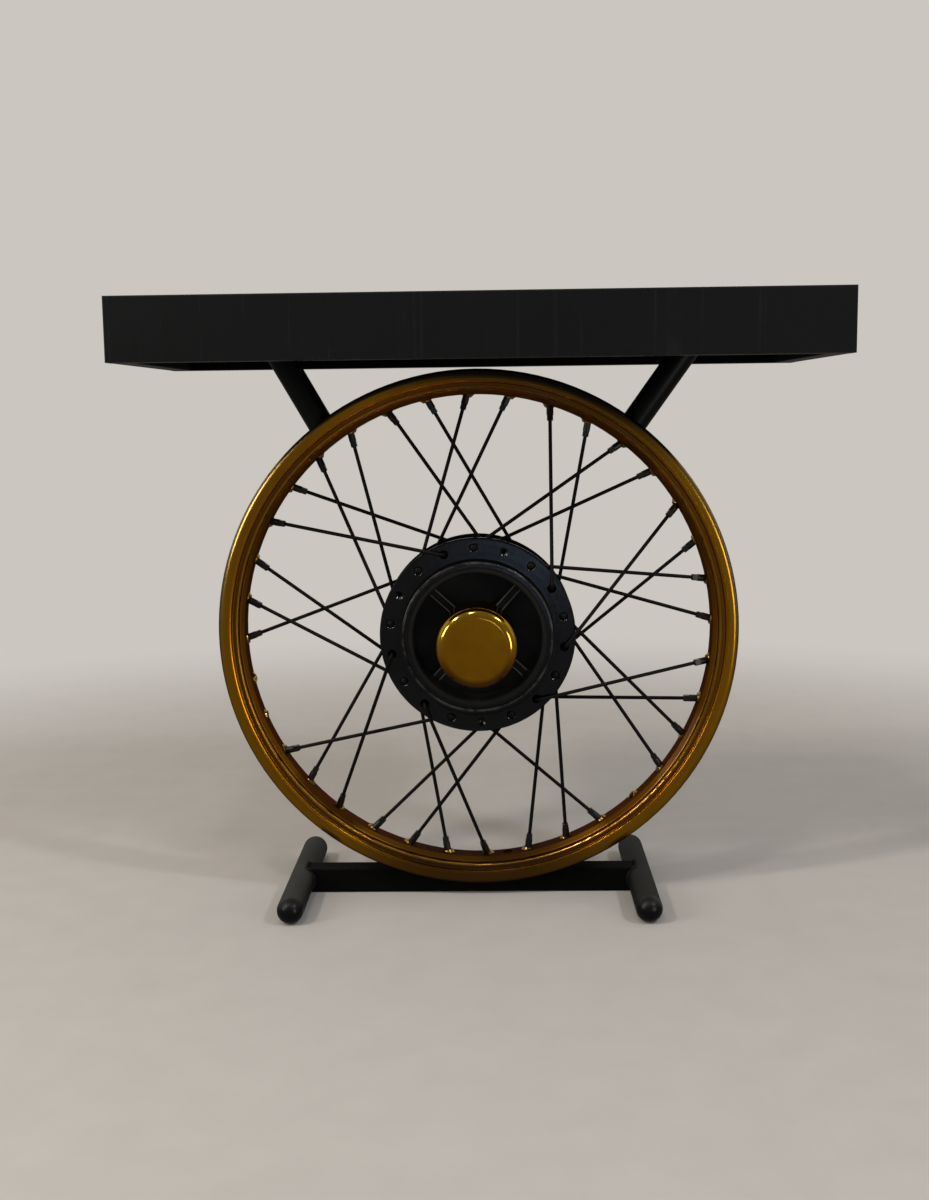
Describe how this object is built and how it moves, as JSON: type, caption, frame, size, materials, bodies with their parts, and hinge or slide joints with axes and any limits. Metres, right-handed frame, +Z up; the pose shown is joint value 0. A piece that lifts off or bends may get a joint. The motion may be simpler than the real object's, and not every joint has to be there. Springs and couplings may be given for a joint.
{
  "type": "wheel side table",
  "caption": "Narrow side table with a black box-shaped top on angled tube struts over a gold spoked wheel with a drum hub, standing on a bar with round tube feet.",
  "frame": {"origin": "middle of the bounding box at floor level, where the feet stand", "axes": "+X to the right along the table's length, +Y to the back (the wheel's axle lies along Y and the gold cap faces -Y), +Z up"},
  "size_m": [0.59, 0.25, 0.527],
  "materials": {
    "painted_top": "black satin paint over wood",
    "painted_steel": "black satin paint",
    "black_screws": "blackened",
    "gold_rim": "gold anodised, glossy",
    "black_spokes": "black satin",
    "black_nipples": "black satin",
    "painted_hub": "black satin",
    "liner_iron": "darkened, turned",
    "bearing_steel": "ground",
    "bright_steel": "zinc plated",
    "black_carrier": "black satin",
    "gold_cap": "gold, polished"
  },
  "bodies": {
    "stand": {"top_board": "painted_top", "apron_front": "painted_top", "apron_back": "painted_top", "apron_left": "painted_top", "apron_right": "painted_top", "strut_left": "painted_steel", "strut_right": "painted_steel", "strut_plate_left": "painted_steel", "strut_plate_right": "painted_steel", "strut_screws_left": "black_screws", "strut_screws_right": "black_screws", "rim": "gold_rim", "spokes_front_inner": "black_spokes", "spokes_front_outer": "black_spokes", "spokes_back_inner": "black_spokes", "spokes_back_outer": "black_spokes", "nipples_front_inner": "black_nipples", "nipples_front_outer": "black_nipples", "nipples_back_inner": "black_nipples", "nipples_back_outer": "black_nipples", "hub_shell": "painted_hub", "brake_liner": "liner_iron", "bearing_front_outer_ring": "bearing_steel", "bearing_back_outer_ring": "bearing_steel", "base_bar": "painted_steel", "foot_tube_left": "painted_steel", "foot_tube_right": "painted_steel", "foot_cap_left_front": "painted_steel", "foot_cap_left_back": "painted_steel", "foot_cap_right_front": "painted_steel", "foot_cap_right_back": "painted_steel"},
    "axle_assembly": {"axle": "bright_steel", "bearing_front_inner_ring": "bearing_steel", "bearing_back_inner_ring": "bearing_steel", "bearing_spacer": "bright_steel", "cap_carrier": "black_carrier", "gold_cap": "gold_cap", "axle_nut_front": "bright_steel", "axle_collar_back": "bright_steel", "axle_nut_back": "bright_steel"}
  },
  "joints": [
    {"name": "axle_spin", "type": "hinge", "parent": "stand", "child": "axle_assembly", "pos_m": [-0.0045, 0, 0.2408], "axis": [0, 1, 0], "continuous": true}
  ]
}
